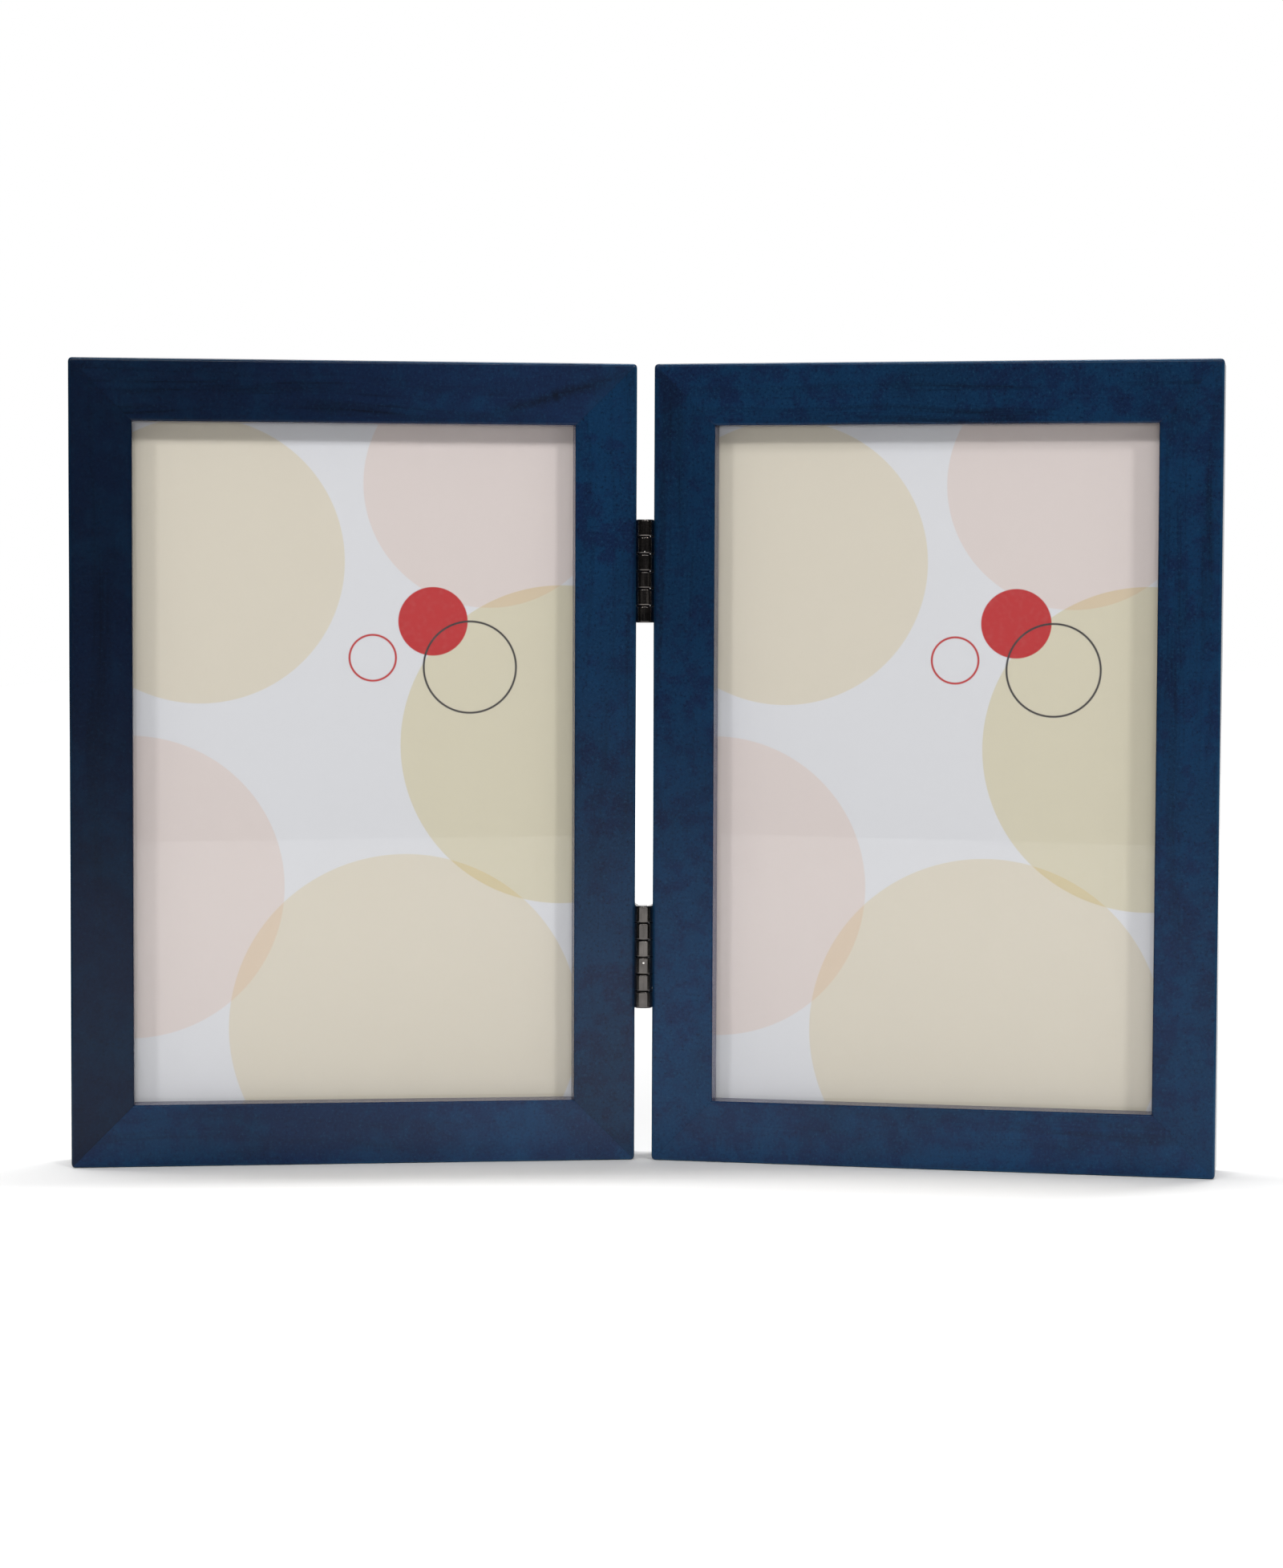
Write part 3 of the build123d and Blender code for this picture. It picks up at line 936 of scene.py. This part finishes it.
def turn_button(wing, side):
    """A stamped turn button on its pivot, with a hole for its screw and its finger tip bent up."""
    points = wing.points("turn_button_" + side)
    into = wing.pivot_place(side).inverted()
    local = [into @ point for point in points]
    radius = max(point.x for point in local)
    reach = max(point.y for point in local)
    outline = arc_points((0, 0), radius, 180, 360, 20)
    outline += arc_points((0, reach - radius), radius, 0, 180, 20)
    hole = arc_points((0, 0), BUTTON_HOLE, 0, 360, 28)[:-1]
    bm = bmesh.new()
    edges = []
    for loop in (outline, hole):
        corners = [bm.verts.new((x, y, 0)) for x, y in loop]
        for index, corner in enumerate(corners):
            edges.append(bm.edges.new((corner, corners[(index + 1) % len(corners)])))
    bmesh.ops.triangle_fill(bm, use_beauty=True, use_dissolve=True, edges=edges)
    bend = reach - BUTTON_FINGER
    for index in range(6):
        line = bend + (index - 2.5) * 0.25 * MM
        bmesh.ops.bisect_plane(
            bm, geom=bm.verts[:] + bm.edges[:] + bm.faces[:], plane_co=(0, line, 0), plane_no=(0, 1, 0)
        )
    slope = BUTTON_RISE / BUTTON_FINGER
    for vertex in bm.verts:
        past = vertex.co.y - bend
        if past > BUTTON_BEND:
            vertex.co.z = slope * past
        elif past > -BUTTON_BEND:
            vertex.co.z = slope * (past + BUTTON_BEND) ** 2 / (4 * BUTTON_BEND)
    whole = bmesh.ops.extrude_face_region(bm, geom=bm.faces[:])
    lifted = [item for item in whole["geom"] if isinstance(item, bmesh.types.BMVert)]
    bmesh.ops.translate(bm, verts=lifted, vec=(0, 0, BUTTON_THICKNESS))
    bmesh.ops.translate(bm, verts=bm.verts, vec=(0, 0, BUTTON_PLAY))
    ease_edges(bm, BUTTON_EDGE, 3)
    return bm


def make_buttons(wing, material):
    """The four turn buttons of a wing."""
    for side in SIDES:
        node = wing.name + "_turn_button_" + side
        place = wing.place @ wing.pivot_place(side)
        piece = mesh_object(node + "_stamped", turn_button(wing, side), place)
        dress(piece, node, material, node)


# Butt hinges


def leaf_path(barrel, side_plane, leaf_width):
    """How many points of a rolled leaf's section belong to its plate alone, and its outer and inner
    points from the plate's edge to the end of the roll."""
    inner_plane = side_plane - LEAF_THICKNESS
    bore = barrel - LEAF_THICKNESS
    notch = barrel + KNUCKLE_CLEARANCE
    plate = [leaf_width, leaf_width - LEAF_CORNER, (leaf_width + notch) / 2, notch]
    path = [((side_plane, depth), (inner_plane, depth)) for depth in plate]
    outer_start = math.acos(side_plane / barrel)
    inner_start = math.acos(inner_plane / bore)
    end = math.acos(inner_plane / barrel) + ROLL_SEAM - math.tau
    for index in range(ROLL_STEPS + 1):
        share = index / ROLL_STEPS
        outer = outer_start + (end - outer_start) * share
        inner = inner_start + (end - inner_start) * share
        path.append((
            (barrel * math.cos(outer), barrel * math.sin(outer)),
            (bore * math.cos(inner), bore * math.sin(inner)),
        ))
    return len(plate), path


def rolled_leaf(wing, level):
    """A hinge leaf rolled from strip, its knuckles wrapped round the pin, in the wing's frame."""
    low, high = wing.extent(level + "_hinge_leaf")
    barrel = -low.y
    length = high.z - low.z
    pitch = (length + KNUCKLE_GAP) / KNUCKLES
    plate_count, path = leaf_path(barrel, wing.side, high.y)
    own_first = 0 if wing.hand < 0 else 1
    heights = []
    for index in range(KNUCKLES):
        heights += [low.z + index * pitch, low.z + (index + 1) * pitch - KNUCKLE_GAP]
    cells = set()
    for row in range(len(path) - 1):
        for column in range(len(heights) - 1):
            is_own = column % 2 == 0 and (column // 2) % 2 == own_first
            if row < plate_count - 1 or is_own:
                cells.add((row, column))
    bm = bmesh.new()
    corners = {}

    def corner(row, column, face):
        key = (row, column, face)
        if key not in corners:
            across, depth = path[row][face]
            corners[key] = bm.verts.new((wing.hand * across, depth, heights[column]))
        return corners[key]

    for row, column in cells:
        for face in (0, 1):
            bm.faces.new((
                corner(row, column, face), corner(row + 1, column, face),
                corner(row + 1, column + 1, face), corner(row, column + 1, face),
            ))
        for beside, first, second in (
            ((row - 1, column), (row, column), (row, column + 1)),
            ((row + 1, column), (row + 1, column), (row + 1, column + 1)),
            ((row, column - 1), (row, column), (row + 1, column)),
            ((row, column + 1), (row, column + 1), (row + 1, column + 1)),
        ):
            if beside not in cells:
                bm.faces.new((
                    corner(*first, 0), corner(*second, 0), corner(*second, 1), corner(*first, 1),
                ))
    bmesh.ops.recalc_face_normals(bm, faces=bm.faces)
    last = len(heights) - 1
    ends = [{corner(0, column, 0), corner(0, column, 1)} for column in (0, last)]
    round_these = [edge for edge in bm.edges if set(edge.verts) in ends]
    knuckle_rims = []
    for row in range(plate_count, len(path) - 1):
        for column in range(len(heights)):
            if ((row, column - 1) in cells) != ((row, column) in cells):
                knuckle_rims.append(bm.edges.get((corner(row, column, 0), corner(row + 1, column, 0))))
    round_edges(bm, round_these, LEAF_CORNER * 0.9, EDGE_STEPS, False)
    round_edges(bm, knuckle_rims, KNUCKLE_EASE, EDGE_STEPS, False)
    ease_edges(bm, LEAF_EDGE, 4, math.radians(50))
    return bm


def hinge_screw_places(wing, levels):
    """The places of the countersunk screws of some of a wing's hinges, tips into the stile."""
    places = []
    for level in levels:
        low, high = wing.extent(level + "_hinge_leaf")
        barrel = -low.y
        inner_plane = wing.side - LEAF_THICKNESS
        for height in (low.z + HINGE_SCREW_EDGE, high.z - HINGE_SCREW_EDGE):
            middle = Vector((wing.hand * inner_plane, (barrel + high.y) / 2, height))
            places.append(Matrix.Translation(middle) @ Matrix.Rotation(-wing.hand * math.pi / 2, 4, "Y"))
    return places


def make_hinges(wing, material):
    """The wing's hinge leaves and their screws."""
    for level in LEVELS:
        node = wing.name + "_" + level + "_hinge_leaf"
        piece = mesh_object(node + "_rolled", rolled_leaf(wing, level), wing.place)
        single = turned(countersunk_outline(SCREW_FIT, LEAF_THICKNESS))
        holes = repeated(mesh_object("screw_hole", single), hinge_screw_places(wing, [level]))
        carve(piece, mesh_object("screw_holes", holes, wing.place))
        dress(piece, wing.body, material, node)
    places = []
    for index, place in enumerate(hinge_screw_places(wing, LEVELS)):
        places.append(place @ Matrix.Rotation(0.3 + 0.8 * index, 4, "Z"))
    node = wing.name + "_hinge_screws"
    piece = mesh_object(node + "_countersunk", repeated(countersunk_screw(), places), wing.place)
    dress(piece, wing.body, material, node)


def make_pin(level, material):
    """A hinge pin with domed ends."""
    node = level + "_hinge_pin"
    low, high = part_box(node)
    radius = (high.x - low.x) / 2
    half = (high.z - low.z) / 2
    dome = arc_points((0, 0), 1.0, 0, 90, 6)
    upper = [
        (radius * (0.6 + 0.4 * across) if up < 1 else 0.6 * radius, half - PIN_DOME + PIN_DOME * up)
        for across, up in dome
    ]
    outline = [(0, -half)] + [(across, -up) for across, up in reversed(upper)] + upper + [(0, half)]
    piece = mesh_object(node + "_turned", turned(outline), Matrix.Translation((low + high) / 2))
    dress(piece, "left_wing", material, node)


# Sheets


def velvet_points(low, high, columns, rows, depth, lift):
    """A grid of points over the velvet at a depth, waved by a lift and frayed at the rim."""
    grid = []
    for row in range(rows + 1):
        line = []
        for column in range(columns + 1):
            x = low.x + (high.x - low.x) * column / columns
            z = low.z + (high.z - low.z) * row / rows
            wave = noise.noise(Vector((x, 0.3, z)) / VELVET_WAVE_LENGTH)
            rim = VELVET_FRAY * (noise.noise(Vector((x, 5.1, z)) / VELVET_FRAY_LENGTH) - 1) / 2
            if column in (0, columns):
                x -= rim if column == 0 else -rim
            if row in (0, rows):
                z -= rim if row == 0 else -rim
            line.append(Vector((x, depth + lift * (wave - 1), z)))
        grid.append(line)
    return grid


def make_velvet(wing, material):
    """The velvet facing on a wing's backing board: a thin sheet with a rounded, slightly uneven rim."""
    low, high = wing.extent("backing_velvet")
    columns = round((high.x - low.x) / VELVET_CELL)
    rows = round((high.z - low.z) / VELVET_CELL)
    front = velvet_points(low, high, columns, rows, low.y, 0.0)
    back = velvet_points(low, high, columns, rows, high.y, VELVET_WAVE)
    bm = bmesh.new()
    sheets = []
    for grid in (front, back):
        sheets.append([[bm.verts.new(point) for point in line] for line in grid])
    for sheet in sheets:
        for row in range(rows):
            for column in range(columns):
                near, far = sheet[row], sheet[row + 1]
                bm.faces.new((near[column], near[column + 1], far[column + 1], far[column]))
    rim = [(0, column) for column in range(columns)]
    rim += [(row, columns) for row in range(rows)]
    rim += [(rows, column) for column in range(columns, 0, -1)]
    rim += [(row, 0) for row in range(rows, 0, -1)]
    lower, upper = ([sheet[row][column] for row, column in rim] for sheet in sheets)
    join_loops(bm, lower, upper)
    ease_edges(bm, VELVET_EDGE, 3, math.radians(60))
    node = wing.name + "_backing_velvet"
    piece = mesh_object(node + "_pile", bm, wing.place)
    dress(piece, wing.body, material, node, math.radians(80))


def ease_glass(node):
    """Draws a pane's faces in a hair, so that they don't coincide with the card and the wood."""
    ease = frame["nodes"][node].modifiers.new("ease", "DISPLACE")
    ease.mid_level = 0.0
    ease.strength = -GLASS_EASE


def paint(node, material):
    """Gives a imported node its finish."""
    for material_slot in frame["nodes"][node].material_slots:
        material_slot.material = material


# Stage: a pale table, a white surround, soft lamps, and flags that shape the reflections

FLOOR_FRONT = -1.02
FLOOR_BACK = 6.0
FLOOR_HALF_WIDTH = 1.1
FLOOR_COLOUR = (0.79, 0.79, 0.79, 1)
FLOOR_BOUNCE = (0.45, 0.45, 0.45, 1)
PALE_FROM = -0.40
PALE_AT_FRONT = 0.1
GLOW_FROM = 0.1
GLOW_TO = 0.8
GLOW = 0.7
RIM_FROM = 0.42
RIM_TO = 0.85
CARD_LIFT = 0.0005
AMBIENT_FRONT = 0.32
AMBIENT_BACK = 0.63
LAMP_AIM = (0, 0, 0.09)

# The ends of each dark flag, in plan, their colour and how high they reach
FLAGS = {
    "flag_behind_camera": ((-8.0, -1.7), (8.0, -1.7)),
    "flag_left": ((-0.224, -0.168), (-0.263, 0.096)),
    "flag_right": ((0.224, -0.168), (0.263, 0.096)),
}
FLAG_COLOUR = (0.03, 0.03, 0.03, 1)
FLAG_BOTTOM = -2.0
FLAG_TOP = 8.0

# Name, place, width, height and power in watts of each lamp, and whether it shows in reflections
LAMPS = (
    ("left_key", (-0.625, -1.10, 0.74), 0.16, 0.16, 3.6, True),
    ("right_key", (0.755, -1.12, 0.857), 0.16, 0.16, 5.8, True),
    ("front_top", (0.0, -1.2, 0.75), 0.6, 0.1, 4.4, True),
    ("front_fill", (0.03, -1.45, 0.17), 0.2, 0.15, 3.4, False),
    ("overhead", (-0.1, 0.42, 3.0), 2.4, 0.32, 80.0, True),
)


def flat_panel(name, corners, material):
    """A flat four-cornered panel of the stage."""
    mesh = bpy.data.meshes.new(name)
    mesh.from_pydata(corners, [], [(0, 1, 2, 3)])
    mesh.materials.append(material)
    panel = linked(name, mesh)
    return panel


def table_panel(name, back, height, material):
    """A level panel across the table, from its front edge."""
    side = FLOOR_HALF_WIDTH
    corners = ((-side, FLOOR_FRONT), (side, FLOOR_FRONT), (side, back), (-side, back))
    return flat_panel(name, [(*corner, height) for corner in corners], material)


def show_in_reflections_only(panel):
    """Hides a panel from all but reflections."""
    panel.visible_camera = False
    panel.visible_diffuse = False
    panel.visible_shadow = False
    panel.visible_transmission = False


def seen_rays():
    """1 for rays that show the background: from the camera, by a reflection or through glass."""
    path = add("LightPath").outputs
    straight = calc("MAXIMUM", path["Is Camera Ray"], path["Is Glossy Ray"])
    return calc("MAXIMUM", straight, path["Is Transmission Ray"])


def make_floor():
    """The pale table with the object's shadow on it, lifted to white away from the object."""
    material, place = new_material("pale_table")
    is_seen = seen_rays()
    matt = add("BsdfDiffuse", {"Color": blend(is_seen, FLOOR_BOUNCE, FLOOR_COLOUR)})
    rim = spread(from_origin(place), RIM_FROM, RIM_TO, 0.0, GLOW)
    lift = calc("MAXIMUM", rim, spread(axes(place)[1], GLOW_FROM, GLOW_TO, 0.0, GLOW))
    glow = add("Emission", {"Strength": times(is_seen, lift)})
    show(add("AddShader", {0: matt.outputs[0], 1: glow.outputs[0]}))
    table_panel("floor", FLOOR_BACK, 0.0, material)


def make_flags():
    """Dark flags behind the camera and at the sides, and a graded card on the table."""
    material, _ = new_material("flag_cloth")
    show(add("BsdfDiffuse", {"Color": FLAG_COLOUR}))
    for name, (start, end) in FLAGS.items():
        corners = [(*start, FLAG_BOTTOM), (*end, FLAG_BOTTOM), (*end, FLAG_TOP), (*start, FLAG_TOP)]
        show_in_reflections_only(flat_panel(name, corners, material))
    material, place = new_material("graded_card")
    pale = spread(axes(place)[1], FLOOR_FRONT, PALE_FROM, PALE_AT_FRONT, 1.0)
    show(add("BsdfDiffuse", {"Color": blend(pale, FLOOR_BOUNCE, FLOOR_COLOUR)}))
    show_in_reflections_only(table_panel("card_on_table", PALE_FROM, CARD_LIFT, material))


def make_world():
    """White where it is seen, and an even plain light elsewhere, softer in front than behind."""
    world = bpy.data.worlds.new("surround")
    bpy.context.scene.world = world
    start_tree(world)
    direction = add("TexCoord").outputs["Generated"]
    strength = spread(axes(direction)[1], -0.4, 0.4, AMBIENT_FRONT, AMBIENT_BACK)
    light = add("Background", {"Color": (1, 1, 1, 1), "Strength": strength})
    white = add("Background", {"Color": (1, 1, 1, 1), "Strength": 1.0})
    both = add("MixShader", {0: seen_rays(), 1: light.outputs[0], 2: white.outputs[0]})
    show(both, "OutputWorld")


def make_lamps():
    """Soft lamps, aimed at the object."""
    for name, place, width, height, power, is_reflected in LAMPS:
        lamp = bpy.data.lights.new(name, "AREA")
        lamp.shape = "RECTANGLE"
        lamp.size = width
        lamp.size_y = height
        lamp.energy = power
        holder = linked(name, lamp)
        holder.location = place
        holder.rotation_euler = (Vector(LAMP_AIM) - Vector(place)).to_track_quat("-Z", "Y").to_euler()
        holder.visible_glossy = is_reflected


def make_camera():
    """The photograph's camera."""
    camera = bpy.data.cameras.new("camera")
    camera.sensor_width = SENSOR
    camera.lens = FOCAL_PIXELS / IMAGE_HEIGHT * SENSOR
    camera.clip_start = 0.01
    holder = linked("camera", camera)
    holder.location = CAMERA_PLACE
    holder.rotation_euler = [math.radians(turn) for turn in CAMERA_TURN]
    bpy.context.scene.camera = holder


# The whole object, then its stage

steel = bright_steel()
nickel = black_nickel()
velvet = black_velvet()
pane = clear_glass()
chipboard = grey_chipboard()
board = hardboard()

for wing_name in WING_HANDS:
    wing = Wing(wing_name)
    make_mouldings(wing)
    make_nails(wing, steel)
    make_button_screws(wing, steel)
    make_buttons(wing, steel)
    make_hinges(wing, nickel)
    make_velvet(wing, velvet)
    ease_glass(wing_name + "_glass")
    paint(wing_name + "_glass", pane)
    paint(wing_name + "_photo_card", printed_card(wing_name))
    paint(wing_name + "_filler_card", chipboard)
    paint(wing_name + "_backing_board", board)
for level in LEVELS:
    make_pin(level, nickel)

make_floor()
make_flags()
make_world()
make_lamps()
make_camera()
bpy.context.scene.view_settings.view_transform = "Standard"
